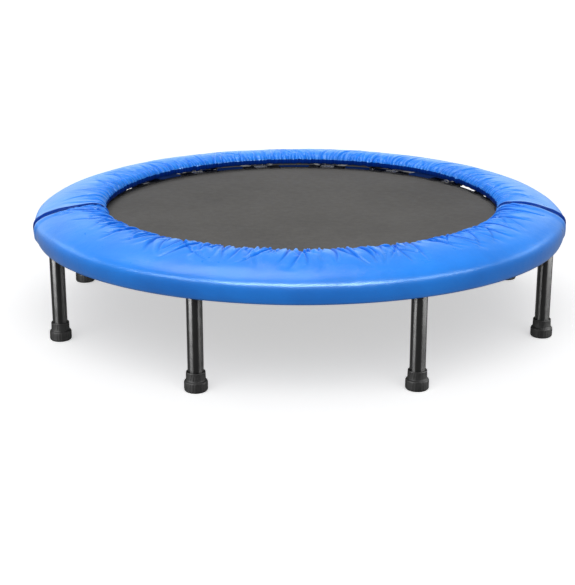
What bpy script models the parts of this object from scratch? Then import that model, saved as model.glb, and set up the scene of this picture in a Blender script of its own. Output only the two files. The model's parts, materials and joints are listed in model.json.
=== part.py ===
"""Mini trampoline: padded blue ring cover, sprung mat, round tube frame and eight screw-on legs.

Metres, +Z up, the front is -Y.  The origin is on the floor under the middle of the mat.
The two half covers meet on the X axis, at the left and the right.
"""

import math

import bmesh
import bpy
from mathutils import Matrix, Vector

GAP = 0.0003

# Frame: one round tube bent to a circle, with a boss and a stud welded under it for every leg
FRAME_RADIUS = 0.452
TUBE_RADIUS = 0.0127
TUBE_WALL = 0.0014
FRAME_HEIGHT = 0.184
RING_STEPS = 68
TUBE_SIDES = 12
BOSS_BOTTOM = 0.1615
BOSS_TOP = 0.1750
STUD_RADIUS = 0.0050
STUD_BOTTOM = 0.1400

# Legs and rubber feet
LEG_COUNT = 8
LEG_SIDES = 12
LEG_BOTTOM = 0.0120
LEG_PLUG_HEIGHT = 0.0250
LEG_BORE_RADIUS = 0.0056
FOOT_FLOOR = 0.0117
FOOT_POCKET_RADIUS = 0.0131
FOOT_OUTLINE = (
    (0.0170, 0.0),
    (0.0186, 0.0016),
    (0.0186, 0.0158),
    (0.0172, 0.0175),
    (0.0156, 0.0180),
    (0.0153, 0.0306),
    (0.0146, 0.0320),
)

# Mat: round sheet with webbing tabs; each tab is a pair of teeth that carry a steel spring ring
MAT_RADIUS = 0.3670
MAT_THICKNESS = 0.0032
TAB_COUNT = 17
TOOTH_INNER = 0.0140
TOOTH_OUTER = 0.0380
TOOTH_TIP = 0.3820
NOTCH_RADIUS = 0.3655
LINK_WIRE_RADIUS = 0.0014
LINK_BASE_HALF = 0.0200
LINK_BASE_RADIUS = 0.3740
LINK_TIP_HALF = 0.0135
LINK_TIP_RADIUS = 0.3905

# Springs: two to a tab, spread in a V from the steel ring to the frame
HOOK_HALF_SPREAD = 0.0090
HOLE_HALF_SPREAD = 0.0345
HOLE_RADIUS = 0.0030
SPRING_WIRE_RADIUS = 0.0012
SPRING_COIL_RADIUS = 0.0075
HOOK_BEND_RADIUS = 0.0036
SPRING_SIDES = 6

# Pad: a foam half ring in a fabric half cover, front and rear, as sections of radius and height
COVER_THICKNESS = 0.0015
COVER_OUTLINE = (
    (0.4712, 0.1556),
    (0.4745, 0.1630),
    (0.4755, 0.1710),
    (0.4756, 0.1800),
    (0.4738, 0.1862),
    (0.4700, 0.1910),
    (0.4610, 0.1968),
    (0.4500, 0.2020),
    (0.4240, 0.2108),
    (0.3970, 0.2155),
    (0.3730, 0.2150),
    (0.3590, 0.2105),
    (0.3525, 0.2030),
    (0.3515, 0.1960),
    (0.3530, 0.1905),
)
FOAM_CLEARANCE = COVER_THICKNESS + 3 * GAP
FOAM_FIRST = 3
FOAM_LAST = 11
FOAM_BOTTOM = FRAME_HEIGHT + TUBE_RADIUS + GAP
PAD_STEPS = RING_STEPS // 2
PAD_END_ANGLE = 0.0004
SEAM_ANGLE = math.radians(11.0)


def clear_scene():
    for old in list(bpy.data.objects):
        bpy.data.objects.remove(old, do_unlink=True)


def material(name, color, roughness, metallic):
    made = bpy.data.materials.new(name)
    made.use_nodes = True
    shader = made.node_tree.nodes["Principled BSDF"]
    shader.inputs["Base Color"].default_value = (*color, 1.0)
    shader.inputs["Roughness"].default_value = roughness
    shader.inputs["Metallic"].default_value = metallic
    made.diffuse_color = (*color, 1.0)
    return made


def finish(name, mesh, slot, place=None):
    """Makes the named piece from a mesh, with its normals out and its origin at place."""
    bmesh.ops.remove_doubles(mesh, verts=mesh.verts, dist=1e-6)
    bmesh.ops.recalc_face_normals(mesh, faces=mesh.faces)
    if place is not None:
        bmesh.ops.translate(mesh, verts=mesh.verts, vec=-place)
    data = bpy.data.meshes.new(name)
    mesh.to_mesh(data)
    mesh.free()
    piece = bpy.data.objects.new(name, data)
    bpy.context.collection.objects.link(piece)
    if place is not None:
        piece.location = place
    data.materials.append(slot)
    return piece


def skin(mesh, rings, loop):
    """Joins rings of points with quads; the last ring meets the first when loop is true."""
    made = [[mesh.verts.new(point) for point in ring] for ring in rings]
    count = len(made[0])
    pairs = list(zip(made, made[1:]))
    if loop:
        pairs.append((made[-1], made[0]))
    else:
        mesh.faces.new(made[0])
        mesh.faces.new(reversed(made[-1]))
    for ring, after in pairs:
        for k in range(count):
            n = (k + 1) % count
            mesh.faces.new((ring[k], ring[n], after[n], after[k]))


def turned(profile, sides, centre=(0.0, 0.0)):
    """Turns a closed section, given as radius and height, about a vertical axis."""
    mesh = bmesh.new()
    rings = []
    for i in range(sides):
        angle = 2 * math.pi * i / sides
        across = math.cos(angle)
        along = math.sin(angle)
        rings.append([(centre[0] + r * across, centre[1] + r * along, z) for r, z in profile])
    skin(mesh, rings, True)
    return mesh


def lathed(outline, sides, centre):
    """Turns an open outline whose first and last points are closed by flat discs."""
    mesh = bmesh.new()
    rings = []
    for r, z in outline:
        ring = []
        for i in range(sides):
            angle = 2 * math.pi * i / sides
            ring.append((centre[0] + r * math.cos(angle), centre[1] + r * math.sin(angle), z))
        rings.append(ring)
    skin(mesh, rings, False)
    return mesh


def swept(points, radii, sides, loop=False):
    """A round rod along a path of points, with a radius at each; flat ends unless it is a loop."""
    mesh = bmesh.new()
    rings = []
    count = len(points)
    side = None
    for i, point in enumerate(points):
        before = points[i - 1] if loop or i else None
        after = points[(i + 1) % count] if loop or i < count - 1 else None
        into = (point - before).normalized() if before is not None else (after - point).normalized()
        out = (after - point).normalized() if after is not None else into
        along = (into + out).normalized()
        if side is None:
            side = along.orthogonal() if not loop else Vector((0.0, 0.0, 1.0))
        side = (side - along * side.dot(along)).normalized()
        up = along.cross(side)
        spots = []
        for k in range(sides):
            angle = 2 * math.pi * (k + 0.5) / sides
            spots.append(point + radii[i] * (math.cos(angle) * side + math.sin(angle) * up))
        rings.append(spots)
    skin(mesh, rings, loop)
    return mesh


def boolean(target, cutter, operation):
    """Applies one exact Boolean and removes the cutter."""
    cut = target.modifiers.new("cut", "BOOLEAN")
    cut.operation = operation
    cut.solver = "EXACT"
    cut.object = cutter
    held = bpy.context.evaluated_depsgraph_get()
    result = bpy.data.meshes.new_from_object(target.evaluated_get(held))
    target.modifiers.clear()
    target.data = result
    bpy.data.objects.remove(cutter, do_unlink=True)


def joined(meshes, name, slot):
    """Puts several separate meshes into one object, to be used as one cutter."""
    whole = bmesh.new()
    for mesh in meshes:
        held = bpy.data.meshes.new("held")
        mesh.to_mesh(held)
        mesh.free()
        whole.from_mesh(held)
    return finish(name, whole, slot)


def polar(radius, angle, height):
    return Vector((radius * math.cos(angle), radius * math.sin(angle), height))


def leg_angle(i):
    return 2 * math.pi * (i + 0.5) / LEG_COUNT


def tab_angle(i):
    return -math.pi / 2 + 2 * math.pi * i / TAB_COUNT


def tube_section(radius):
    """The tube's round section, as radius and height."""
    spots = []
    for k in range(TUBE_SIDES):
        angle = 2 * math.pi * k / TUBE_SIDES
        spots.append((FRAME_RADIUS + radius * math.cos(angle), FRAME_HEIGHT + radius * math.sin(angle)))
    return spots


def spring_line(i, hand):
    """The hook's centre on the steel ring and the middle of the hole in the frame."""
    angle = tab_angle(i)
    out = polar(1.0, angle, 0.0)
    across = Vector((-out.y, out.x, 0.0))
    up = Vector((0.0, 0.0, FRAME_HEIGHT))
    start = out * LINK_TIP_RADIUS + across * hand * HOOK_HALF_SPREAD + up
    reach = math.sqrt((FRAME_RADIUS - TUBE_RADIUS) ** 2 - HOLE_HALF_SPREAD**2)
    end = out * reach + across * hand * HOLE_HALF_SPREAD + up
    return start, end


def build_frame(slot):
    """The ring: tube, bosses and studs in one welded piece, open where the springs hook in."""
    ring = finish("frame_ring", turned(tube_section(TUBE_RADIUS), RING_STEPS), slot)
    bosses = []
    for i in range(LEG_COUNT):
        spot = polar(FRAME_RADIUS, leg_angle(i), 0.0)
        heights = (STUD_BOTTOM, BOSS_BOTTOM, BOSS_BOTTOM, BOSS_TOP)
        points = [Vector((spot.x, spot.y, z)) for z in heights]
        low = swept(points[:2] + [points[1] + Vector((0.0, 0.0, 0.002))], [STUD_RADIUS] * 3, TUBE_SIDES)
        high = swept(points[2:], [TUBE_RADIUS * 0.9] * 2, LEG_SIDES)
        bosses += [low, high]
    for mesh in bosses:
        boolean(ring, joined([mesh], "boss", slot), "UNION")
    inside = finish("inside", turned(tube_section(TUBE_RADIUS - TUBE_WALL), RING_STEPS), slot)
    boolean(ring, inside, "DIFFERENCE")
    holes = []
    for i in range(TAB_COUNT):
        for hand in (-1, 1):
            start, end = spring_line(i, hand)
            along = (end - start).normalized()
            holes.append(swept([end - along * 0.005, end + along * 0.007], [HOLE_RADIUS] * 2, SPRING_SIDES))
    boolean(ring, joined(holes, "holes", slot), "DIFFERENCE")
    return ring


def build_leg(i, metal, rubber):
    """One leg tube with its threaded plug, and the rubber foot pushed onto it."""
    spot = polar(FRAME_RADIUS, leg_angle(i), 0.0)
    top = BOSS_BOTTOM - GAP
    inner = TUBE_RADIUS - TUBE_WALL
    section = (
        (TUBE_RADIUS, LEG_BOTTOM),
        (TUBE_RADIUS, top),
        (LEG_BORE_RADIUS, top),
        (LEG_BORE_RADIUS, top - LEG_PLUG_HEIGHT),
        (inner, top - LEG_PLUG_HEIGHT),
        (inner, LEG_BOTTOM),
    )
    centre = (spot.x, spot.y)
    finish(f"leg_{i + 1}", turned(section, LEG_SIDES, centre), metal, spot)
    cup = ((FOOT_POCKET_RADIUS, FOOT_OUTLINE[-1][1]), (FOOT_POCKET_RADIUS, FOOT_FLOOR))
    finish(f"foot_{i + 1}", lathed(FOOT_OUTLINE + cup, LEG_SIDES, centre), rubber, spot)


def mat_outline():
    """The mat's edge, with a pair of teeth at every tab."""
    spots = []
    pitch = 2 * math.pi / TAB_COUNT
    for i in range(TAB_COUNT):
        angle = tab_angle(i)
        out = polar(1.0, angle, 0.0)
        across = Vector((-out.y, out.x, 0.0))
        edge = math.sqrt(MAT_RADIUS**2 - TOOTH_OUTER**2)
        half = (
            (TOOTH_INNER, NOTCH_RADIUS),
            (TOOTH_INNER, TOOTH_TIP),
            (TOOTH_OUTER, TOOTH_TIP - 0.0015),
            (TOOTH_OUTER, edge),
        )
        spots += [out * r - across * x for x, r in reversed(half)]
        spots += [out * r + across * x for x, r in half]
        spots += [polar(MAT_RADIUS, angle + pitch * part, 0.0) for part in (0.42, 0.58)]
    return spots


def build_mat(slot):
    """The sheet with its tabs and the steel ring sewn into each tab."""
    mesh = bmesh.new()
    low = FRAME_HEIGHT - MAT_THICKNESS / 2
    rings = [[Vector((p.x, p.y, low + rise)) for p in mat_outline()] for rise in (0.0, MAT_THICKNESS)]
    skin(mesh, rings, False)
    mat = finish("mat", mesh, slot)
    links = []
    for i in range(TAB_COUNT):
        out = polar(1.0, tab_angle(i), 0.0)
        across = Vector((-out.y, out.x, 0.0))
        up = Vector((0.0, 0.0, FRAME_HEIGHT))
        corners = (
            (-LINK_BASE_HALF, LINK_BASE_RADIUS),
            (LINK_BASE_HALF, LINK_BASE_RADIUS),
            (LINK_TIP_HALF, LINK_TIP_RADIUS),
            (-LINK_TIP_HALF, LINK_TIP_RADIUS),
        )
        points = [out * r + across * x + up for x, r in corners]
        links.append(swept(points, [LINK_WIRE_RADIUS] * 4, SPRING_SIDES, loop=True))
    boolean(mat, joined(links, "links", slot), "UNION")
    return mat


def build_spring(name, i, hand, slot):
    """A spring: hook round the steel ring, close coil drawn as its envelope, end bent in the tube."""
    start, end = spring_line(i, hand)
    along = (end - start).normalized()
    up = Vector((0.0, 0.0, 1.0))
    points = []
    for turn in (-80.0, -30.0, 30.0, 90.0):
        angle = math.radians(turn)
        back = -along * HOOK_BEND_RADIUS * math.cos(angle)
        points.append(start + back + up * HOOK_BEND_RADIUS * math.sin(angle))
    length = (end - start).length
    for distance in (0.0065, 0.0080, length - 0.0050, length - 0.0035, length + 0.0060):
        points.append(start + along * distance)
    points.append(points[-1] + along * 0.0010 - up * 0.0045)
    wire = SPRING_WIRE_RADIUS
    coil = SPRING_COIL_RADIUS
    radii = [wire] * 5 + [coil] * 2 + [wire] * 3
    finish(name, swept(points, radii, SPRING_SIDES), slot)


def offset(outline, distance):
    """The section moved inwards by a distance, square to itself."""
    moved = []
    last = len(outline) - 1
    for k, (r, z) in enumerate(outline):
        before = outline[max(k - 1, 0)]
        after = outline[min(k + 1, last)]
        run = math.hypot(after[0] - before[0], after[1] - before[1])
        across = (-(after[1] - before[1]) / run, (after[0] - before[0]) / run)
        moved.append((r + across[0] * distance, z + across[1] * distance))
    return moved


def half_ring(section, front):
    """A closed section carried from seam to seam, with flat ends; the seams lie in front of the middle."""
    mesh = bmesh.new()
    first = SEAM_ANGLE - math.pi if front else -SEAM_ANGLE
    last = -SEAM_ANGLE if front else SEAM_ANGLE + math.pi
    span = last - first - 2 * PAD_END_ANGLE
    rings = []
    for i in range(PAD_STEPS + 1):
        angle = first + PAD_END_ANGLE + span * i / PAD_STEPS
        rings.append([polar(r, angle, z) for r, z in section])
    skin(mesh, rings, False)
    return mesh


def build_pad(side, front, fabric, foam):
    """One half of the pad: the thin cover, open underneath, and the foam inside it."""
    inner = offset(COVER_OUTLINE, COVER_THICKNESS)
    cover = list(COVER_OUTLINE) + list(reversed(inner))
    finish(f"cover_{side}", half_ring(cover, front), fabric)
    top = offset(COVER_OUTLINE, FOAM_CLEARANCE)[FOAM_FIRST : FOAM_LAST + 1]
    top = [(r, z) for r, z in top if z > FOAM_BOTTOM + 0.001]
    flat = [(top[-1][0] + 0.002, FOAM_BOTTOM), (top[0][0] - 0.004, FOAM_BOTTOM)]
    finish(f"foam_{side}", half_ring(top + flat, front), foam)


def build():
    clear_scene()
    black = material("frame_black", (0.020, 0.020, 0.022), 0.35, 0.6)
    satin = material("leg_black", (0.045, 0.045, 0.048), 0.30, 0.7)
    rubber = material("foot_rubber", (0.018, 0.018, 0.018), 0.70, 0.0)
    steel = material("spring_steel", (0.55, 0.56, 0.57), 0.30, 1.0)
    weave = material("mat_weave", (0.105, 0.100, 0.092), 0.75, 0.0)
    blue = material("cover_blue", (0.045, 0.240, 0.850), 0.45, 0.0)
    foam = material("pad_foam", (0.850, 0.840, 0.800), 0.90, 0.0)
    build_frame(black)
    for i in range(LEG_COUNT):
        build_leg(i, satin, rubber)
    build_mat(weave)
    for i in range(TAB_COUNT):
        for hand in (-1, 1):
            build_spring(f"spring_{2 * i + (hand + 3) // 2:02d}", i, hand, steel)
    build_pad("front", True, blue, foam)
    build_pad("rear", False, blue, foam)


build()
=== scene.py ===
"""Mini trampoline, finished view: gathered ring cover, woven mat, springs, tube frame, legs and feet.

Metres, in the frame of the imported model: +Z up, the front is -Y, the floor is at zero.
"""

import json
import math

import bmesh
import bpy
import numpy as np
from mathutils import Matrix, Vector, noise

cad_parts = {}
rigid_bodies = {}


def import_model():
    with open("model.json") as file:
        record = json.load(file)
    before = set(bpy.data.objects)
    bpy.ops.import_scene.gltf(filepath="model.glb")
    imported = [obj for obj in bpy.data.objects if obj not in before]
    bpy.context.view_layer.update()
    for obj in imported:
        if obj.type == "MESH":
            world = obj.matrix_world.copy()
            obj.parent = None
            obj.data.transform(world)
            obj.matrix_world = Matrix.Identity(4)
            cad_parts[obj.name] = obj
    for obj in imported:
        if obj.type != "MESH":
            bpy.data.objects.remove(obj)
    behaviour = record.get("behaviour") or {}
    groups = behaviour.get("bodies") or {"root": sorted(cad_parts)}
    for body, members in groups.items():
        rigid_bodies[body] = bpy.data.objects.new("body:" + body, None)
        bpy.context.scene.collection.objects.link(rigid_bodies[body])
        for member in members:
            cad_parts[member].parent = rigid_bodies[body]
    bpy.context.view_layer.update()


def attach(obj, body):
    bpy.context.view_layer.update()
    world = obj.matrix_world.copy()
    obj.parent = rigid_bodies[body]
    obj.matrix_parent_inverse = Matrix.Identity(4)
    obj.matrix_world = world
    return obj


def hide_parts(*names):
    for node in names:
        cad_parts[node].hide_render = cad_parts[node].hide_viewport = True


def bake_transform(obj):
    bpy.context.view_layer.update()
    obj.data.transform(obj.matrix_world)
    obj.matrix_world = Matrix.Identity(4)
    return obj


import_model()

# Frame, repeated from the model
FRAME_RADIUS = 0.452
TUBE_RADIUS = 0.0127
FRAME_HEIGHT = 0.184
BOSS_BOTTOM = 0.1615
STUD_RADIUS = 0.0050
LEG_COUNT = 8
LEG_BOTTOM = 0.0120

# Finer steps round the ring, and the round bosses with their weld beads
RING_STEPS = 272
TUBE_SIDES = 24
BOSS_RADIUS = 0.0118
STUD_BOTTOM = 0.1405
WELD_RADIUS = 0.0114
WELD_STEPS = 56

# Mat, tabs and springs: repeated from the model, but for a slightly thinner sheet and spring wire
MAT_RADIUS = 0.3670
MAT_THICKNESS = 0.0030
WEBBING_LIFT = 0.0009
TAB_COUNT = 17
TOOTH_INNER = 0.0140
TOOTH_OUTER = 0.0380
LINK_WIRE = 0.0014
LINK_TIP_RADIUS = 0.3905
LINK_CORNERS = ((-0.0200, 0.3740), (0.0200, 0.3740),
                (0.0135, LINK_TIP_RADIUS), (-0.0135, LINK_TIP_RADIUS))
HOOK_HALF_SPREAD = 0.0090
HOLE_HALF_SPREAD = 0.0345
HOLE_RADIUS = 0.0030
SPRING_WIRE = 0.00115
SPRING_COIL_RADIUS = 0.0075
SPRING_TURNS = 17
HOOK_BEND_RADIUS = 0.0036

# Pad section as radius and height: the outside, from the skirt's lower edge over the crown to the
# gathered inner hem, then the lining, from that hem under the foam and down the inside of the skirt
PAD_OUTSIDE = (
    (0.4712, 0.1556),
    (0.4745, 0.1630),
    (0.4755, 0.1710),
    (0.4756, 0.1800),
    (0.4738, 0.1862),
    (0.4700, 0.1910),
    (0.4610, 0.1968),
    (0.4500, 0.2020),
    (0.4240, 0.2108),
    (0.3970, 0.2155),
    (0.3730, 0.2150),
    (0.3590, 0.2105),
    (0.3525, 0.2030),
    (0.3515, 0.1960),
    (0.3530, 0.1905),
)
PAD_LINING = (
    (0.3530, 0.1905),
    (0.3575, 0.1900),
    (0.3640, 0.1930),
    (0.3740, 0.1970),
    (0.4100, 0.1976),
    (0.4450, 0.1976),
    (0.4540, 0.1974),
    (0.4625, 0.1938),
    (0.4675, 0.1870),
    (0.4698, 0.1780),
    (0.4700, 0.1670),
    (0.4690, 0.1570),
    (0.4712, 0.1556),
)
OUTSIDE_POINTS = 57
LINING_POINTS = 14
PAD_ROWS = OUTSIDE_POINTS + LINING_POINTS - 2
PAD_COLUMNS = 1350
SEAM_GAP = 0.0006
SEAM_ANGLE = math.radians(11.0)
# Below this height the inner hem is coloured dark navy: painted shade on the hem's lower face
PAINTED_SHADE_TOP = 0.2025
INNER_EDGE = 0.3520
PAD_MIDDLE = 0.42
PAD_WIDTH = 0.124
HEM_RADIUS = 0.3560
HEM_TOP = 0.2050

# Gathers lie above this height only, and those of the rear half are shallower by this share
CROWN_FROM = 0.193
CALM_REAR = 0.55
NO_GATHER_RADIUS = 0.60

# Settling of the cover as cloth
CLOTH_STEPS = 13
CLOTH_REACH = 0.006
HELD_COLUMNS = 16

# Studio
FLOOR_HALF_SIDE = 30.0
FLOOR_GLOW = 0.50
BACKDROP_RADIUS = 28.0
BACKDROP_DEPTH = 24.0


# ---------------------------------------------------------------- small helpers

def clamp01(value):
    return max(0.0, min(1.0, value))


def ease(value):
    value = clamp01(value)
    return value * value * (3.0 - 2.0 * value)


def polar(radius, angle, height):
    return Vector((radius * math.cos(angle), radius * math.sin(angle), height))


def leg_angle(i):
    return 2 * math.pi * (i + 0.5) / LEG_COUNT


def tab_angle(i):
    return -math.pi / 2 + 2 * math.pi * i / TAB_COUNT


def tab_axes(i):
    """Directions outward through a tab and across it."""
    out = polar(1.0, tab_angle(i), 0.0)
    return out, Vector((-out.y, out.x, 0.0))


def wander(x, y=0.0, z=0.0):
    """Smooth repeatable noise between about -1 and 1."""
    return noise.noise(Vector((x, y, z)))


def spline(points, count):
    """A smooth curve through the points, as count points at equal spacing."""
    pts = np.array(points, float)
    padded = np.vstack([2 * pts[0] - pts[1], pts, 2 * pts[-1] - pts[-2]])
    fine = []
    for k in range(1, len(padded) - 2):
        p0, p1, p2, p3 = padded[k - 1 : k + 3]
        for t in np.linspace(0, 1, 24, endpoint=False):
            fine.append(
                0.5 * (2 * p1 + (p2 - p0) * t + (2 * p0 - 5 * p1 + 4 * p2 - p3) * t**2
                       + (3 * p1 - p0 - 3 * p2 + p3) * t**3)
            )
    fine.append(pts[-1])
    fine = np.array(fine)
    run = np.concatenate([[0], np.cumsum(np.linalg.norm(np.diff(fine, axis=0), axis=1))])
    want = np.linspace(0, run[-1], count)
    return np.stack([np.interp(want, run, fine[:, k]) for k in range(fine.shape[1])], 1)


def add_object(name, mesh, material, smooth=True):
    """A new object from a bmesh, with its normals out."""
    bmesh.ops.recalc_face_normals(mesh, faces=mesh.faces)
    data = bpy.data.meshes.new(name)
    mesh.to_mesh(data)
    mesh.free()
    piece = bpy.data.objects.new(name, data)
    bpy.context.scene.collection.objects.link(piece)
    data.materials.append(material)
    if smooth:
        data.shade_smooth()
    return piece


def skin(mesh, rings, loop=False, caps=True):
    """Joins equal rings of points with quads; loop joins the last ring to the first."""
    made = [[mesh.verts.new(p) for p in ring] for ring in rings]
    count = len(made[0])
    pairs = list(zip(made, made[1:]))
    if loop:
        pairs.append((made[-1], made[0]))
    elif caps:
        mesh.faces.new(made[0])
        mesh.faces.new(reversed(made[-1]))
    for ring, after in pairs:
        for k in range(count):
            n = (k + 1) % count
            mesh.faces.new((ring[k], ring[n], after[n], after[k]))
    return made


def tube(mesh, points, radius, sides, loop=False):
    """Adds a round rod along a path, carried along without twist."""
    count = len(points)
    radii = radius if isinstance(radius, (list, tuple)) else [radius] * count
    tangents = []
    for i in range(count):
        if loop:
            along = points[(i + 1) % count] - points[i - 1]
        else:
            along = points[min(i + 1, count - 1)] - points[max(i - 1, 0)]
        tangents.append(along.normalized())
    side = Vector((0, 0, 1)) if loop else tangents[0].orthogonal()
    rings = []
    for i, along in enumerate(tangents):
        side = (side - along * side.dot(along)).normalized()
        up = along.cross(side)
        ring = []
        for k in range(sides):
            angle = 2 * math.pi * k / sides
            ring.append(points[i] + radii[i] * (math.cos(angle) * side + math.sin(angle) * up))
        rings.append(ring)
    skin(mesh, rings, loop)


def lathe(mesh, outline, sides, centre, ripple=None):
    """Turns an outline of radius and height about a vertical axis; the first and last close flat."""
    rings = []
    for r, z in outline:
        ring = []
        for k in range(sides):
            angle = 2 * math.pi * k / sides
            reach = r + (ripple(angle, r, z) if ripple else 0.0)
            ring.append((centre[0] + reach * math.cos(angle), centre[1] + reach * math.sin(angle), z))
        rings.append(ring)
    skin(mesh, rings)


def rounded(outline, bevel, steps=3):
    """The outline with each inner corner cut to a small round."""
    made = [Vector(outline[0])]
    for before, corner, after in zip(outline, outline[1:], outline[2:]):
        a, b, c = Vector(before), Vector(corner), Vector(after)
        into = min(bevel, (a - b).length * 0.45, (c - b).length * 0.45)
        first = b + (a - b).normalized() * into
        last = b + (c - b).normalized() * into
        for s in range(steps + 1):
            t = s / steps
            made.append(first * (1 - t) ** 2 + b * 2 * t * (1 - t) + last * t * t)
    made.append(Vector(outline[-1]))
    return [(p.x, p.y) for p in made]


# ---------------------------------------------------------------- materials

class Graph:
    """A material's node tree, with short calls for what the recipes below use."""

    def __init__(self, name, color, roughness, metallic=0.0, **sockets):
        self.material = bpy.data.materials.new(name)
        self.material.use_nodes = True
        self.tree = self.material.node_tree
        self.shader = self.tree.nodes["Principled BSDF"]
        self.shader.inputs["Base Color"].default_value = (*color, 1)
        self.shader.inputs["Roughness"].default_value = roughness
        self.shader.inputs["Metallic"].default_value = metallic
        for key, value in sockets.items():
            self.shader.inputs[key.replace("_", " ")].default_value = value
        self.where = self.tree.nodes.new("ShaderNodeTexCoord").outputs["Object"]

    def node(self, kind, **values):
        made = self.tree.nodes.new(kind)
        for key, value in values.items():
            setattr(made, key, value)
        return made

    def link(self, source, target):
        self.tree.links.new(source, target)

    def noise(self, scale, detail=3.0, roughness=0.5, vector=None):
        made = self.node("ShaderNodeTexNoise")
        made.inputs["Scale"].default_value = scale
        made.inputs["Detail"].default_value = detail
        made.inputs["Roughness"].default_value = roughness
        self.link(vector or self.where, made.inputs["Vector"])
        return made.outputs["Fac"]

    def wave(self, scale, direction, distortion=0.0, vector=None):
        made = self.node("ShaderNodeTexWave", wave_type="BANDS", bands_direction=direction)
        made.inputs["Scale"].default_value = scale
        made.inputs["Distortion"].default_value = distortion
        self.link(vector or self.where, made.inputs["Vector"])
        return made.outputs["Fac"]

    def math(self, operation, first, second):
        made = self.node("ShaderNodeMath", operation=operation)
        for socket, value in zip(made.inputs, (first, second)):
            if isinstance(value, (int, float)):
                socket.default_value = value
            else:
                self.link(value, socket)
        return made.outputs[0]

    def ramp(self, factor, *stops):
        """Stops are (position, colour or grey)."""
        made = self.node("ShaderNodeValToRGB")
        items = made.color_ramp.elements
        while len(items) < len(stops):
            items.new(0.5)
        for item, (position, value) in zip(items, stops):
            item.position = position
            item.color = (*value, 1) if isinstance(value, tuple) else (value, value, value, 1)
        self.link(factor, made.inputs["Fac"])
        return made.outputs["Color"]

    def mix(self, factor, first, second):
        """Blends a colour output towards a fixed colour."""
        made = self.node("ShaderNodeMix", data_type="RGBA")
        self.link(factor, made.inputs["Factor"])
        self.link(first, made.inputs[6])
        made.inputs[7].default_value = (*second, 1)
        return made.outputs[2]

    def color(self, source):
        self.link(source, self.shader.inputs["Base Color"])

    def roughness(self, source):
        self.link(source, self.shader.inputs["Roughness"])

    def specular(self, source):
        self.link(source, self.shader.inputs["Specular IOR Level"])

    def glow(self, source):
        self.link(source, self.shader.inputs["Emission Color"])

    def bump(self, *layers):
        """Layers are (height, strength, distance in metres), stacked."""
        normal = None
        for height, strength, distance in layers:
            made = self.node("ShaderNodeBump")
            made.inputs["Strength"].default_value = strength
            made.inputs["Distance"].default_value = distance
            self.link(height, made.inputs["Height"])
            if normal is not None:
                self.link(normal, made.inputs["Normal"])
            normal = made.outputs["Normal"]
        self.link(normal, self.shader.inputs["Normal"])


def weave_height(graph, pitch):
    """Threads of the given pitch along X and Y: where they cross, and their ridges."""
    scale = math.pi / (10.0 * pitch)
    warp = graph.wave(scale, "X", 0.15)
    weft = graph.wave(scale, "Y", 0.15)
    return graph.math("MULTIPLY", warp, weft), graph.math("MAXIMUM", warp, weft)


def cover_material(name, tint, gloss=0.36):
    """Coated blue fabric: fine weave under a soft gloss, a little uneven in colour, and painted darker
    in its creases as shade.
    """
    graph = Graph(name, tint, 0.38, Sheen_Weight=0.25 * gloss, Sheen_Tint=(0.60, 0.85, 1.0, 1.0))
    low = tuple(c * 0.86 for c in tint)
    high = tuple(min(1.0, c * 1.10) for c in tint)
    cloth = graph.ramp(graph.noise(9.0, 4.0, 0.55), (0.30, low), (0.70, high))
    # Painted shade: where the mesh's crease strength is high, the colour turns a deep blue, standing in
    # for shadow inside the creases.
    depth = graph.node("ShaderNodeAttribute", attribute_name="crease").outputs["Fac"]
    deep = (tint[0] * 0.10, tint[1] * 0.40, tint[2] * 0.66)
    graph.color(graph.mix(graph.ramp(depth, (0.10, 0.0), (0.65, 0.88)), cloth, deep))
    graph.specular(graph.ramp(depth, (0.05, gloss), (0.45, gloss * 0.12)))
    graph.roughness(graph.ramp(graph.noise(55.0, 3.0), (0.25, 0.27), (0.75, 0.34)))
    threads, _ = weave_height(graph, 0.0011)
    graph.bump((graph.noise(38.0, 4.0, 0.55), 0.22, 0.004), (threads, 0.18, 0.0002))
    return graph.material


def mat_material():
    """Woven flat plastic yarn, matt grey-brown."""
    graph = Graph("mat_weave_look", (0.115, 0.110, 0.100), 0.78, Specular_IOR_Level=0.30,
                  Sheen_Weight=0.05)
    threads, ridges = weave_height(graph, 0.0022)
    tone = graph.math("ADD", graph.math("MULTIPLY", threads, 0.45), graph.math(
        "MULTIPLY", graph.noise(5.0, 5.0, 0.6), 0.75))
    graph.color(graph.ramp(tone, (0.25, (0.058, 0.056, 0.052)), (0.80, (0.095, 0.092, 0.087))))
    graph.roughness(graph.ramp(graph.noise(90.0, 2.0), (0.3, 0.68), (0.7, 0.86)))
    graph.bump((ridges, 0.35, 0.0004), (graph.noise(420.0, 2.0), 0.10, 0.0003))
    return graph.material


def webbing_material():
    graph = Graph("webbing_look", (0.014, 0.014, 0.016), 0.62, Specular_IOR_Level=0.35)
    threads, ridges = weave_height(graph, 0.0014)
    graph.color(graph.ramp(threads, (0.1, (0.010, 0.010, 0.012)), (0.9, (0.030, 0.030, 0.033))))
    graph.bump((ridges, 0.5, 0.0004))
    return graph.material


def enamel_material(name, tint, low, high, specular, drawn):
    """Stoved paint on drawn tube: a faint orange peel, and a gloss stretched along the tube."""
    graph = Graph(name, tint, (low + high) / 2, Specular_IOR_Level=specular, Anisotropic=drawn,
                  Anisotropic_Rotation=0.25)
    shade = tuple(c * 0.8 for c in tint)
    graph.color(graph.ramp(graph.noise(24.0, 3.0), (0.35, shade), (0.65, tint)))
    graph.roughness(graph.ramp(graph.noise(70.0, 3.0), (0.3, low), (0.7, high)))
    graph.bump((graph.noise(900.0, 2.0), 0.06, 0.0002))
    return graph.material


def rubber_material():
    graph = Graph("rubber_look", (0.010, 0.010, 0.010), 0.60, Specular_IOR_Level=0.16)
    graph.color(graph.ramp(graph.noise(60.0, 4.0), (0.3, 0.006), (0.7, 0.015)))
    graph.roughness(graph.ramp(graph.noise(160.0, 3.0), (0.3, 0.45), (0.7, 0.72)))
    graph.bump((graph.noise(700.0, 3.0), 0.20, 0.0003))
    return graph.material


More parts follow.
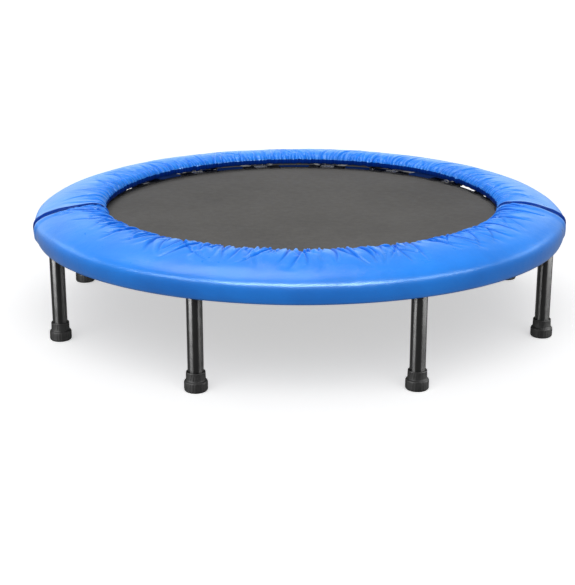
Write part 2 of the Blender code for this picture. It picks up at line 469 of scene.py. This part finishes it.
def steel_material():
    graph = Graph("spring_steel_look", (0.60, 0.61, 0.62), 0.28, 1.0)
    grain = graph.noise(180.0, 3.0)
    graph.color(graph.ramp(grain, (0.3, (0.46, 0.47, 0.48)), (0.7, (0.66, 0.67, 0.68))))
    graph.roughness(graph.ramp(graph.noise(300.0, 2.0), (0.3, 0.22), (0.7, 0.38)))
    return graph.material


def thread_material():
    graph = Graph("thread_look", (0.16, 0.16, 0.17), 0.65)
    grain = graph.noise(600.0, 2.0)
    graph.color(graph.ramp(grain, (0.3, (0.11, 0.11, 0.12)), (0.7, (0.21, 0.21, 0.22))))
    graph.bump((graph.wave(400.0, "X"), 0.4, 0.0002))
    return graph.material


def backdrop_material():
    """White studio wall, bright enough to meet the white floor without a line."""
    graph = Graph("backdrop_look", (0.96, 0.96, 0.96), 0.9, Specular_IOR_Level=0.0,
                  Emission_Strength=1.0)
    graph.glow(graph.ramp(graph.noise(0.2, 2.0), (0.3, 0.985), (0.7, 1.0)))
    return graph.material


def floor_material():
    """White studio floor, partly lit from below, so that shadows on it stay pale."""
    graph = Graph("floor_look", (0.96, 0.96, 0.96), 0.9, Specular_IOR_Level=0.0,
                  Emission_Strength=FLOOR_GLOW)
    graph.color(graph.ramp(graph.noise(2.0, 2.0), (0.3, 0.955), (0.7, 0.965)))
    graph.glow(graph.ramp(graph.noise(2.0, 2.0), (0.3, 0.995), (0.7, 1.0)))
    return graph.material


LOOKS = {
    "cover": cover_material("cover_blue_look", (0.010, 0.245, 0.960)),
    "lining": cover_material("cover_lining_look", (0.004, 0.050, 0.300), 0.10),
    # Dark navy for the seam edges and the inner hem's lower face: painted shade
    "hem_seam_shade": cover_material("cover_painted_shade_look", (0.001, 0.040, 0.330), 0.05),
    "mat": mat_material(),
    "webbing": webbing_material(),
    "frame": enamel_material("frame_black_look", (0.012, 0.012, 0.013), 0.26, 0.40, 0.5, 0.0),
    "leg": enamel_material("leg_black_look", (0.006, 0.006, 0.006), 0.28, 0.36, 0.40, 0.9),
    "rubber": rubber_material(),
    "steel": steel_material(),
    "thread": thread_material(),
    "floor": floor_material(),
    "backdrop": backdrop_material(),
}


# ---------------------------------------------------------------- padded cover

def pad_angles(front):
    """Angles of the columns along one half of the ring, crowded together at the seams."""
    inset = SEAM_GAP / FRAME_RADIUS
    first = SEAM_ANGLE - math.pi if front else -SEAM_ANGLE
    last = -SEAM_ANGLE if front else SEAM_ANGLE + math.pi
    along = np.linspace(0.0, 1.0, 4001)
    crowd = 1.0 + 1.6 * np.exp(-((along / 0.018) ** 2)) + 1.6 * np.exp(-(((1.0 - along) / 0.018) ** 2))
    run = np.concatenate([[0.0], np.cumsum((crowd[1:] + crowd[:-1]) / 2)])
    steps = np.interp(np.linspace(0.0, run[-1], PAD_COLUMNS), run, along)
    return first + inset + (last - first - 2 * inset) * steps


def draw_pleats(front, angles, reach):
    """The gathers drawn up by the elastic: depth and crease strength for every column and row.

    Small puckers crowd along the hem, and longer, sharper creases run out over the crown.
    """
    draw = np.random.default_rng(41 if front else 97)
    depth = np.zeros((len(angles), len(reach)))
    crease = np.zeros_like(depth)
    out = np.maximum(reach - INNER_EDGE, 0.0)
    calmer = 1.0 if front else CALM_REAR
    families = (
        # spacing, length, width and depth, each as low and high, then slant and bow
        ((0.0036, 0.0078), (0.028, 0.056), (0.0009, 0.0013), (0.0012, 0.0024), 0.18, 2.0),
        ((0.0080, 0.0210), (0.045, 0.098), (0.0010, 0.0016), (0.0026, 0.0044), 0.26, 3.0),
    )
    for spacing, lengths, widths, depths, slant, bow in families:
        start = angles[0]
        while start < angles[-1]:
            start += draw.uniform(*spacing) / INNER_EDGE / (0.6 + 0.4 * calmer)
            length = draw.uniform(*lengths) * (0.7 + 0.3 * calmer)
            width = draw.uniform(*widths)
            deep = draw.uniform(*depths) * calmer
            hand = 1.0 if draw.random() < 0.5 else -1.0
            drift = draw.normal(0.0, slant) * out + draw.normal(0.0, bow) * out**2
            centre = start + drift / INNER_EDGE
            fade = np.clip(1.0 - out / length, 0.0, 1.0) ** 0.7
            spread = width * (1.0 + 0.6 * out / length)
            away = hand * (angles[:, None] - centre[None, :]) * (INNER_EDGE + out[None, :])
            soft = np.where(away > 0.0, 2.4, 1.0)
            valley = np.exp(-((away / (spread * soft)) ** 2))
            puff = np.exp(-(((away + 2.2 * spread) / (1.6 * spread)) ** 2))
            depth += deep * fade * (0.50 * puff - valley)
            crease = np.maximum(crease, fade * valley)
    return np.clip(depth, -0.0056, 0.0022), crease


def draw_folds(front, angles, reach):
    """Longer soft folds across the top of the cover, and a slight unevenness of the stuffing."""
    draw = np.random.default_rng(7 if front else 19)
    depth = np.zeros((len(angles), len(reach)))
    for _ in range(26 if front else 22):
        middle = draw.uniform(angles[0], angles[-1])
        near = draw.uniform(0.362, 0.385)
        far = near + draw.uniform(0.030, 0.075)
        width = draw.uniform(0.003, 0.007)
        deep = draw.uniform(0.0008, 0.0020)
        slant = draw.normal(0.0, 0.55)
        away = (angles[:, None] - middle) * reach[None, :] - slant * (reach[None, :] - near)
        along = np.clip((reach - near) / (far - near), 0.0, 1.0)
        fade = np.sin(math.pi * along) ** 0.8
        depth -= deep * fade[None, :] * np.exp(-((away / width) ** 2))
        depth += 0.5 * deep * fade[None, :] * np.exp(-(((away - 1.8 * width) / (1.4 * width)) ** 2))
    seed = 3.0 if front else 31.0
    for i, angle in enumerate(angles):
        for k in range(len(reach)):
            depth[i, k] += 0.0011 * wander(angle * 6.0, seed, reach[k] * 16.0)
    return depth


def seam_line(reach, right):
    """How far the seam wanders off the diameter at a given radius."""
    along = (reach - INNER_EDGE) / PAD_WIDTH
    if right:
        sag = 0.0100 * math.exp(-(((along - 0.25) / 0.20) ** 2))
        return 0.0050 * math.sin(along * 7.4 + 0.6) * (0.4 + 0.6 * along) - 0.002 * along - sag
    sag = 0.0120 * math.exp(-(((along - 0.42) / 0.26) ** 2))
    return 0.0032 * math.sin(along * 5.0 + 2.2) - 0.004 * along - sag


def seam_width(reach, right):
    """How far from the seam the edges start to roll into it, at a given radius."""
    along = clamp01((reach - INNER_EDGE) / PAD_WIDTH)
    if right:
        middle = 0.0070 * math.exp(-(((along - 0.40) / 0.17) ** 2))
        return 0.0040 + middle + 0.0055 * ease((along - 0.66) / 0.20)
    return 0.0038 + 0.0065 * ease((along - 0.30) / 0.55)


def seam_lift(away, front, width):
    """How the surface stands at a distance from the seam, where the two edges roll down together."""
    reach = width if front else 0.8 * width
    roll = 0.0 if away > reach else 1.0 - math.sqrt(max(0.0, 1.0 - (1.0 - away / reach) ** 2))
    if front:
        swell = 0.0022 * ease(1.0 - abs(away - 0.020) / 0.016)
    else:
        swell = 0.0026 * ease(1.0 - away / 0.024)
    return swell - 0.010 * roll


def lining_room(outside, lining):
    """How far each point of the outside may sink before it meets the lining."""
    gaps = np.linalg.norm(outside[:, None, :] - lining[None, :, :], axis=2).min(axis=1)
    return np.maximum(gaps - 0.0009, 0.0)


def settle_hem(r, z, angle, front):
    """Lets the hem sit off centre to the right, and a little higher over the rear springs."""
    near = ease((0.400 - r) / 0.045)
    r += near * (0.0015 + 0.0035 * math.cos(angle))
    if not front:
        inner = ease((0.374 - r) / 0.012) * ease((math.sin(angle) - 0.25) / 0.50)
        z += 0.0036 * inner * clamp01((0.2135 - z) / 0.014)
    return r, z


def pad_points(front):
    """The half cover's columns of points before it is relaxed, with the crease strengths and the seam
    edges that take painted shade.
    """
    outside = spline(PAD_OUTSIDE, OUTSIDE_POINTS)
    lining = spline(PAD_LINING, LINING_POINTS)[1:-1]
    room = lining_room(outside, spline(PAD_LINING, 160))
    angles = pad_angles(front)
    reach = outside[:, 0]
    top = outside[:, 1] > CROWN_FROM
    reach_top = np.where(top, reach, NO_GATHER_RADIUS)
    depth, crease = draw_pleats(front, angles, reach_top)
    depth += draw_folds(front, angles, reach)
    hem_wave = [0.0012 + 0.0020 * wander(a * 34.0, 5.0 + front) for a in angles]
    slope = np.gradient(outside, axis=0)
    slope /= np.linalg.norm(slope, axis=1, keepdims=True)
    normal = np.stack([slope[:, 1], -slope[:, 0]], 1)
    edge = np.minimum(np.arange(OUTSIDE_POINTS), OUTSIDE_POINTS - 1 - np.arange(OUTSIDE_POINTS))
    calm = np.clip(edge / 3.0, 0.0, 1.0)
    columns = []
    painted_dark = np.zeros((PAD_COLUMNS, PAD_ROWS), bool)
    crease = np.pad(crease, ((0, 0), (0, PAD_ROWS - OUTSIDE_POINTS)))
    for i, angle in enumerate(angles):
        away = min(angle - angles[0], angles[-1] - angle) * PAD_MIDDLE
        right = math.cos(angle) > 0.0
        drift = ease(1.0 - away / 0.050)
        column = []
        for k in range(PAD_ROWS):
            if k < OUTSIDE_POINTS:
                width = seam_width(outside[k, 0], right)
                # Points close to the seam take the dark navy: painted shade in the seam's groove
                painted_dark[i, k] = away < (0.85 if front else 0.78) * width
                push = (depth[i, k] + seam_lift(away, front, width)) * calm[k]
                r, z = outside[k] + normal[k] * max(push, -room[k])
                if outside[k, 0] < HEM_RADIUS and outside[k, 1] < HEM_TOP:
                    z += hem_wave[i]
            else:
                r, z = lining[k - OUTSIDE_POINTS]
            r, z = settle_hem(r, z, angle, front)
            point = polar(r, angle, z)
            point.y += seam_line(r, right) * drift
            column.append(point)
        columns.append(column)
    return columns, crease, painted_dark


def pad_holds(crease):
    """How firmly each point is held and how much slack it has, for every column and row."""
    outside = spline(PAD_OUTSIDE, OUTSIDE_POINTS)
    hold = np.ones((PAD_COLUMNS, PAD_ROWS))
    slack = np.zeros((PAD_COLUMNS, PAD_ROWS))
    for k in range(1, OUTSIDE_POINTS - 1):
        r, z = outside[k]
        inner = 1.0 - ease((r - INNER_EDGE) / 0.060) if z > CROWN_FROM else 0.0
        hold[:, k] = np.maximum(0.10 - 0.060 * inner, np.minimum(1.3 * crease[:, k], 1.0))
        slack[:, k] = inner
    for end in range(HELD_COLUMNS):
        share = 1.0 - end / HELD_COLUMNS
        for column in (end, PAD_COLUMNS - 1 - end):
            hold[column] = np.maximum(hold[column], share)
            slack[column] *= 1.0 - share
    return hold, slack


def close_ends(mesh, made):
    """Closes the two seam ends of a half cover."""
    ends = [mesh.faces.new(made[0]), mesh.faces.new(made[-1][::-1])]
    bmesh.ops.triangulate(mesh, faces=ends, ngon_method="EAR_CLIP")


def relax_pad(piece, crease):
    """Lets the cover settle as cloth: pressed out by its foam and held in its sewn creases."""
    mesh = piece.data
    start = np.empty(len(mesh.vertices) * 3)
    mesh.vertices.foreach_get("co", start)
    hold, slack = pad_holds(crease)
    for name, values in (("hold", hold), ("slack", slack)):
        group = piece.vertex_groups.new(name=name)
        levels = np.round(values.ravel(), 2)
        for level in np.unique(levels):
            group.add(np.flatnonzero(levels == level).tolist(), float(level), "REPLACE")
    cloth = piece.modifiers.new("cloth", "CLOTH")
    s = cloth.settings
    s.quality = 3
    s.mass = 0.15
    s.tension_stiffness = 12.0
    s.compression_stiffness = 12.0
    s.shear_stiffness = 4.0
    s.bending_stiffness = 0.03
    s.tension_damping = 5.0
    s.compression_damping = 5.0
    s.shear_damping = 5.0
    s.air_damping = 2.0
    s.vertex_group_mass = "hold"
    s.pin_stiffness = 0.6
    s.vertex_group_shrink = "slack"
    s.shrink_min = 0.0
    s.shrink_max = -0.18
    s.use_pressure = True
    s.uniform_pressure_force = 6.0
    s.effector_weights.gravity = 0.0
    cloth.collision_settings.use_collision = False
    cloth.collision_settings.use_self_collision = False
    scene = bpy.context.scene
    for step in range(1, CLOTH_STEPS + 1):
        scene.frame_set(step)
    held = bpy.context.evaluated_depsgraph_get()
    moved = np.empty(len(mesh.vertices) * 3)
    piece.evaluated_get(held).data.vertices.foreach_get("co", moved)
    piece.modifiers.remove(cloth)
    scene.frame_set(1)
    shift = (moved - start).reshape(-1, 3)
    size = np.linalg.norm(shift, axis=1, keepdims=True)
    shift *= np.minimum(1.0, CLOTH_REACH / np.maximum(size, 1e-9))
    mesh.vertices.foreach_set("co", (start.reshape(-1, 3) + shift).ravel())
    mesh.update()
    piece.vertex_groups.clear()
    size *= 1000
    print(f"{piece.name}: cloth moved {size.mean():.2f} mm on average, {size.max():.1f} at most")


def build_half_cover(side, front):
    """One padded half cover, with its lining, and its inner hem and seam edges in a dark navy that is
    painted shade, told apart by material.
    """
    mesh = bmesh.new()
    columns, crease, seam = pad_points(front)
    close_ends(mesh, skin(mesh, columns, caps=False))
    piece = add_object(f"cover_{side}_look", mesh, LOOKS["cover"])
    piece.data.materials.append(LOOKS["lining"])
    piece.data.materials.append(LOOKS["hem_seam_shade"])
    heights = spline(PAD_OUTSIDE, OUTSIDE_POINTS)
    inner_rows = range(OUTSIDE_POINTS // 2, OUTSIDE_POINTS)
    painted_dark = min(k for k in inner_rows if heights[k, 1] < PAINTED_SHADE_TOP)
    seam = seam.ravel()
    # Lining faces take the lining colour; the inner hem below the shade top and the seam edges take the
    # dark navy of painted shade
    for face in piece.data.polygons:
        rows = [v % PAD_ROWS for v in face.vertices]
        if max(rows) >= OUTSIDE_POINTS:
            face.material_index = 1
        elif min(rows) >= painted_dark or all(seam[v] for v in face.vertices):
            face.material_index = 2
    # Crease strength for the material, which paints the creases darker as shade; the rear half's is
    # weaker
    shade = piece.data.attributes.new("crease", "FLOAT", "POINT")
    strength = np.clip(crease * (1.0 if front else 0.45), 0.0, 1.0)
    shade.data.foreach_set("value", strength.astype(np.float32).ravel())
    relax_pad(piece, crease)
    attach(piece, "frame")
    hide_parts(f"cover_{side}", f"foam_{side}")


# ---------------------------------------------------------------- mat

def build_mat():
    """The round woven sheet, thicker along its turned hem."""
    half = MAT_THICKNESS / 2
    thin = half * 0.6
    hem = MAT_RADIUS * 0.945
    outline = [(MAT_RADIUS * share, thin) for share in (0.08, 0.2, 0.35, 0.5, 0.65, 0.8, 0.9)]
    outline += [(hem - 0.0015, thin), (hem, half), (MAT_RADIUS - 0.0008, half), (MAT_RADIUS, half * 0.4)]
    top = [(r, FRAME_HEIGHT + z) for r, z in outline]
    under = [(r, FRAME_HEIGHT - z) for r, z in outline[::-1]]
    mesh = bmesh.new()
    lathe(mesh, top + under, RING_STEPS, (0.0, 0.0))
    mat = add_object("mat_look", mesh, LOOKS["mat"])
    mat.data.set_sharp_from_angle(angle=math.radians(30))
    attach(mat, "mat")
    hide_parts("mat")
    return mat


def build_tab_webbing(i):
    """A band of webbing sewn over a tab's teeth, top and bottom, with two rows of stitching."""
    out, across = tab_axes(i)
    mesh = bmesh.new()
    half = MAT_THICKNESS / 2 + WEBBING_LIFT
    for hand in (-1, 1):
        low, high = sorted((hand * TOOTH_INNER, hand * TOOTH_OUTER))
        rings = []
        outline = ((0.3540, half), (0.3800, half), (0.3822, half * 0.6), (0.3822, -half * 0.6),
                   (0.3800, -half), (0.3540, -half))
        for x in (low, low + 0.0006, high - 0.0006, high):
            pinch = 0.75 if x in (low, high) else 1.0
            ring = []
            for r, z in outline:
                ring.append(out * r + across * x + Vector((0, 0, FRAME_HEIGHT + z * pinch)))
            rings.append(ring)
        skin(mesh, rings)
    piece = add_object(f"tab_webbing_{i + 1:02d}", mesh, LOOKS["webbing"], smooth=False)
    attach(piece, "mat")
    stitches = bmesh.new()
    for hand in (-1, 1):
        for row in (0.3570, 0.3640):
            for k in range(6):
                x = hand * (TOOTH_INNER + 0.0030 + k * 0.0034)
                for face in (-1, 1):
                    lift = Vector((0, 0, FRAME_HEIGHT + face * (half + 0.0001)))
                    ends = [out * row + across * (x + d) + lift for d in (0.0, 0.0011, 0.0022)]
                    ends[1].z += face * 0.0003
                    tube(stitches, ends, 0.00035, 5)
    thread = add_object(f"tab_stitches_{i + 1:02d}", stitches, LOOKS["thread"])
    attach(thread, "mat")
    return [piece, thread]


def build_mat_stitching():
    """Two rows of lockstitch round the mat's turned hem, on both faces."""
    mesh = bmesh.new()
    for radius, count in ((0.3500, 360), (0.3585, 368)):
        for k in range(count):
            angle = 2 * math.pi * k / count
            for face in (-1, 1):
                z = FRAME_HEIGHT + face * (MAT_THICKNESS / 2 + 0.0001)
                ends = [polar(radius, angle + d, z) for d in (0.0, 0.0055, 0.0110)]
                ends[1].z += face * 0.0003
                tube(mesh, ends, 0.0003, 4)
    piece = add_object("mat_stitching", mesh, LOOKS["thread"])
    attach(piece, "mat")
    return piece


def build_link(i):
    """The steel wire ring sewn into a tab, with rounded corners."""
    out, across = tab_axes(i)
    up = Vector((0, 0, FRAME_HEIGHT))
    corners = [out * r + across * x + up for x, r in LINK_CORNERS]
    path = []
    for k, corner in enumerate(corners):
        before, after = corners[k - 1], corners[(k + 1) % 4]
        first = corner + (before - corner).normalized() * 0.003
        last = corner + (after - corner).normalized() * 0.003
        for s in range(5):
            t = s / 4
            path.append(first * (1 - t) ** 2 + corner * 2 * t * (1 - t) + last * t * t)
    mesh = bmesh.new()
    tube(mesh, path, LINK_WIRE, 12, loop=True)
    piece = add_object(f"tab_ring_{i + 1:02d}", mesh, LOOKS["steel"])
    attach(piece, "mat")
    return piece


# ---------------------------------------------------------------- springs

def spring_line(i, hand):
    """A spring's two ends: where it hooks on the tab's ring and into the frame's hole."""
    out, across = tab_axes(i)
    up = Vector((0.0, 0.0, FRAME_HEIGHT))
    start = out * LINK_TIP_RADIUS + across * hand * HOOK_HALF_SPREAD + up
    reach = math.sqrt((FRAME_RADIUS - TUBE_RADIUS) ** 2 - HOLE_HALF_SPREAD**2)
    end = out * reach + across * hand * HOLE_HALF_SPREAD + up
    return start, end


def build_spring(i, hand):
    """A close-wound coil with a wire hook at each end."""
    start, end = spring_line(i, hand)
    along = (end - start).normalized()
    up = Vector((0, 0, 1))
    side = along.cross(up)
    length = (end - start).length
    first, last = 0.0075, length - 0.0045
    coil = SPRING_COIL_RADIUS - SPRING_WIRE
    points = []
    for k in range(9):
        angle = math.radians(-85.0 + 175.0 * k / 8)
        bend = up * HOOK_BEND_RADIUS * math.sin(angle) - along * HOOK_BEND_RADIUS * math.cos(angle)
        points.append(start + bend)
    points.append(start + along * 0.0035 + up * 0.0030)
    points.append(start + along * 0.0055 + up * 0.0040)
    steps = SPRING_TURNS * 18
    for k in range(steps + 1):
        t = k / steps
        angle = 2 * math.pi * SPRING_TURNS * t
        grow = min(1.0, 0.60 + k / 14.0, 0.60 + (steps - k) / 14.0)
        spot = start + along * (first + (last - first) * t)
        points.append(spot + coil * grow * (up * math.cos(angle) + side * math.sin(angle)))
    points.append(start + along * (last + 0.0016) + up * 0.0022)
    points.append(start + along * (last + 0.0032) + up * 0.0006)
    points.append(end)
    points.append(end + along * 0.0055)
    points.append(end + along * 0.0070 - up * 0.0015)
    points.append(end + along * 0.0072 - up * 0.0042)
    mesh = bmesh.new()
    tube(mesh, points, SPRING_WIRE, 7)
    number = 2 * i + (hand + 3) // 2
    piece = add_object(f"spring_{number:02d}_look", mesh, LOOKS["steel"])
    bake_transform(piece)
    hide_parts(f"spring_{number:02d}")


# ---------------------------------------------------------------- frame, legs, feet

def build_tube_ring():
    """The round tube bent to a circle, with its spring holes cut."""
    mesh = bmesh.new()
    rings = []
    for i in range(RING_STEPS):
        angle = 2 * math.pi * i / RING_STEPS
        ring = []
        for k in range(TUBE_SIDES):
            turn = 2 * math.pi * k / TUBE_SIDES
            ring.append(polar(FRAME_RADIUS + TUBE_RADIUS * math.cos(turn), angle,
                              FRAME_HEIGHT + TUBE_RADIUS * math.sin(turn)))
        rings.append(ring)
    skin(mesh, rings, loop=True)
    ring = add_object("frame_tube", mesh, LOOKS["frame"])
    holes = bmesh.new()
    for i in range(TAB_COUNT):
        for hand in (-1, 1):
            start, end = spring_line(i, hand)
            along = (end - start).normalized()
            tube(holes, [end - along * 0.005, end + along * 0.007], HOLE_RADIUS, 16)
    cutter = add_object("spring_holes", holes, LOOKS["frame"])
    cut = ring.modifiers.new("holes", "BOOLEAN")
    cut.operation = "DIFFERENCE"
    cut.solver = "EXACT"
    cut.object = cutter
    held = bpy.context.evaluated_depsgraph_get()
    ring.data = bpy.data.meshes.new_from_object(ring.evaluated_get(held))
    ring.modifiers.clear()
    bpy.data.objects.remove(cutter, do_unlink=True)
    ring.data.shade_smooth()
    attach(ring, "frame")
    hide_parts("frame_ring")


def build_boss(i):
    """The boss that a leg screws onto, with its stud and the weld bead that holds it to the tube."""
    spot = polar(FRAME_RADIUS, leg_angle(i), 0.0)
    mesh = bmesh.new()
    outline = rounded([
        (0.0020, STUD_BOTTOM), (STUD_RADIUS - 0.0008, STUD_BOTTOM), (STUD_RADIUS, STUD_BOTTOM + 0.0015),
        (STUD_RADIUS, BOSS_BOTTOM), (WELD_RADIUS, BOSS_BOTTOM), (BOSS_RADIUS, BOSS_BOTTOM + 0.0008),
        (BOSS_RADIUS, 0.1728), (0.0060, 0.1760)], 0.0008)
    lathe(mesh, outline, 40, (spot.x, spot.y))
    boss = add_object(f"leg_boss_{i + 1}", mesh, LOOKS["frame"])
    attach(boss, "frame")
    bead = bmesh.new()
    path = []
    radial = Vector((spot.x, spot.y, 0.0)).normalized()
    around = Vector((-radial.y, radial.x, 0.0))
    for k in range(WELD_STEPS):
        turn = 2 * math.pi * k / WELD_STEPS
        x = WELD_RADIUS * math.cos(turn)
        y = WELD_RADIUS * math.sin(turn)
        height = FRAME_HEIGHT - math.sqrt(max(TUBE_RADIUS**2 - x * x, 0.0)) - 0.0004
        path.append(spot + radial * x + around * y + Vector((0, 0, height)))
    sizes = [0.0012 + 0.0003 * math.sin(k * 1.9) for k in range(WELD_STEPS)]
    tube(bead, path, sizes, 8, loop=True)
    weld = add_object(f"leg_weld_{i + 1}", bead, LOOKS["frame"])
    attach(weld, "frame")


def build_leg(i):
    """A leg tube with rolled top edge, and its two-step ribbed rubber foot."""
    spot = polar(FRAME_RADIUS, leg_angle(i), 0.0)
    top = BOSS_BOTTOM - 0.0003
    mesh = bmesh.new()
    outline = rounded([(0.0113, LEG_BOTTOM), (TUBE_RADIUS, LEG_BOTTOM), (TUBE_RADIUS, top),
                       (0.0056, top), (0.0056, top - 0.0235)], 0.0009)
    lathe(mesh, outline, 64, (spot.x, spot.y))
    leg = add_object(f"leg_{i + 1}_look", mesh, LOOKS["leg"])
    leg.data.set_sharp_from_angle(angle=math.radians(50))
    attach(leg, f"leg_{i + 1}")
    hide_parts(f"leg_{i + 1}")

    def ribs(angle, r, z):
        if r < 0.0140:
            return 0.0
        if 0.0030 < z < 0.0150:
            return 0.00030 * math.cos(24 * angle)
        if 0.0195 < z < 0.0295:
            return 0.00022 * math.cos(24 * angle)
        return 0.0

    foot = bmesh.new()
    outline = rounded([
        (0.0010, 0.0006), (0.0120, 0.0006), (0.0130, 0.0), (0.0168, 0.0), (0.0184, 0.0018),
        (0.0185, 0.0030), (0.0185, 0.0150), (0.0181, 0.0166), (0.0160, 0.0182), (0.0155, 0.0192),
        (0.0152, 0.0296), (0.0154, 0.0304), (0.0150, 0.0318), (0.0142, 0.0322), (0.0131, 0.0318),
        (0.0130, 0.0118), (0.0010, 0.0118)], 0.0007, 2)
    lathe(foot, outline, 96, (spot.x, spot.y), ribs)
    foot = add_object(f"foot_{i + 1}_look", foot, LOOKS["rubber"])
    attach(foot, f"leg_{i + 1}")
    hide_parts(f"foot_{i + 1}")


# ---------------------------------------------------------------- floor, light, camera

CAMERA_DISTANCE = 2.378
CAMERA_HEIGHT = 0.778
CAMERA_TURN = math.radians(-1.70)
CAMERA_PITCH = math.radians(17.53)
CAMERA_YAW = math.radians(0.516)
CAMERA_SENSOR = 36.0
CAMERA_FOCAL = 82.6462


def build_camera():
    """The product view: from the front, a little to the left, and looking slightly down."""
    data = bpy.data.cameras.new("camera")
    data.lens = CAMERA_FOCAL
    data.sensor_width = CAMERA_SENSOR
    data.clip_start = 0.05
    camera = bpy.data.objects.new("camera", data)
    bpy.context.scene.collection.objects.link(camera)
    camera.location = (CAMERA_DISTANCE * math.sin(CAMERA_TURN), -CAMERA_DISTANCE * math.cos(CAMERA_TURN),
                       CAMERA_HEIGHT)
    camera.rotation_euler = (math.pi / 2 - CAMERA_PITCH, 0.0, CAMERA_TURN + CAMERA_YAW)
    bpy.context.scene.camera = camera


COVER_PIECES = bpy.data.collections.new("cover_pieces")
LEG_PIECES = bpy.data.collections.new("leg_pieces")
ALL_PIECES = bpy.data.collections.new("all_pieces")


def add_light(name, kind, energy, receivers=None):
    data = bpy.data.lights.new(name, kind)
    data.energy = energy
    light = bpy.data.objects.new(name, data)
    bpy.context.scene.collection.objects.link(light)
    light.visible_camera = False
    if receivers:
        light.light_linking.receiver_collection = receivers
    return light


def gloss_panel(name, place, target, size, radiance, receivers, tint=(1.0, 1.0, 1.0)):
    """A studio panel that only shows as a highlight, on the pieces of one collection."""
    light = add_light(name, "AREA", radiance * math.pi * size[0] * size[1], receivers)
    light.data.shape = "RECTANGLE"
    light.data.size, light.data.size_y = size
    light.location = place
    light.rotation_euler = (Vector(target) - Vector(place)).to_track_quat("-Z", "Y").to_euler()
    light.data.color = tint
    light.visible_diffuse = False


def sun_light(name, turn, energy, spread, receivers=None):
    """A broad soft light from far off."""
    light = add_light(name, "SUN", energy, receivers)
    light.data.angle = spread
    light.rotation_euler = turn


def build_studio():
    """White world, floor and wall, two soft suns, and the panels that draw the highlights."""
    world = bpy.data.worlds.new("studio")
    world.use_nodes = True
    background = world.node_tree.nodes["Background"]
    background.inputs["Color"].default_value = (1.0, 1.0, 1.0, 1.0)
    background.inputs["Strength"].default_value = 0.38
    bpy.context.scene.world = world
    bpy.context.scene.view_settings.view_transform = "Standard"
    mesh = bmesh.new()
    bmesh.ops.create_grid(mesh, x_segments=2, y_segments=2, size=FLOOR_HALF_SIDE)
    floor = add_object("floor", mesh, LOOKS["floor"])
    floor.visible_diffuse = False
    floor.visible_glossy = False
    wall = bmesh.new()
    bmesh.ops.create_cone(wall, cap_ends=False, segments=96, radius1=BACKDROP_RADIUS,
                          radius2=BACKDROP_RADIUS, depth=BACKDROP_DEPTH)
    backdrop = add_object("backdrop", wall, LOOKS["backdrop"])
    backdrop.visible_diffuse = False
    backdrop.visible_glossy = False
    backdrop.visible_shadow = False
    key = (math.radians(38), math.radians(-3), 0.0)
    fill = (math.radians(-14), math.radians(-12), 0.0)
    sun_light("key", key, 1.00, math.radians(66))
    sun_light("fill", fill, 1.82, math.radians(40), ALL_PIECES)
    cool = (0.66, 0.90, 1.0)
    gloss_panel("shoulder_panel", (0.0, -1.86, 1.66), (0.0, -0.45, 0.2), (2.6, 0.32), 60.0,
                COVER_PIECES, cool)
    for hand, side in ((-1, "left"), (1, "right")):
        gloss_panel(f"shoulder_{side}", (hand * 1.75, -1.15, 1.42), (hand * 0.24, -0.41, 0.2),
                    (1.0, 0.30), 24.0, COVER_PIECES, cool)
        gloss_panel(f"shoulder_{side}_rear", (hand * 1.97, 0.45, 1.00), (hand * 0.40, -0.24, 0.2),
                    (1.3, 0.30), 5.0, COVER_PIECES, cool)
    gloss_panel("back_panel", (-0.6, 3.20, 1.00), (0.0, 0.0, 0.2), (6.0, 2.0), 0.9, COVER_PIECES, cool)
    gloss_panel("horizon_panel", (-0.3, 3.20, 0.40), (0.0, 0.38, 0.2), (6.0, 0.45), 0.5,
                COVER_PIECES, cool)
    gloss_panel("left_panel", (-1.42, -1.15, 0.55), (0.0, -0.1, 0.15), (1.25, 1.05), 38.0, LEG_PIECES)
    gloss_panel("right_panel", (1.40, -0.55, 0.55), (0.0, -0.1, 0.15), (1.8, 1.05), 19.0, LEG_PIECES)


def sort_for_lights():
    """Lists the pieces that the fill light and each set of gloss panels light."""
    for piece in bpy.context.scene.objects:
        if piece.type != "MESH" or piece.name in ("floor", "backdrop"):
            continue
        ALL_PIECES.objects.link(piece)
        if piece.name.startswith("cover_"):
            COVER_PIECES.objects.link(piece)
        if piece.name.startswith(("leg_", "foot_", "frame_")):
            LEG_PIECES.objects.link(piece)


def main():
    build_camera()
    build_studio()
    build_half_cover("front", True)
    build_half_cover("rear", False)
    mat = build_mat()
    trims = [build_mat_stitching()]
    for i in range(TAB_COUNT):
        trims += build_tab_webbing(i)
        trims.append(build_link(i))
        for hand in (-1, 1):
            build_spring(i, hand)
    build_tube_ring()
    for i in range(LEG_COUNT):
        build_boss(i)
    for i in range(LEG_COUNT):
        build_leg(i)
    sort_for_lights()


main()
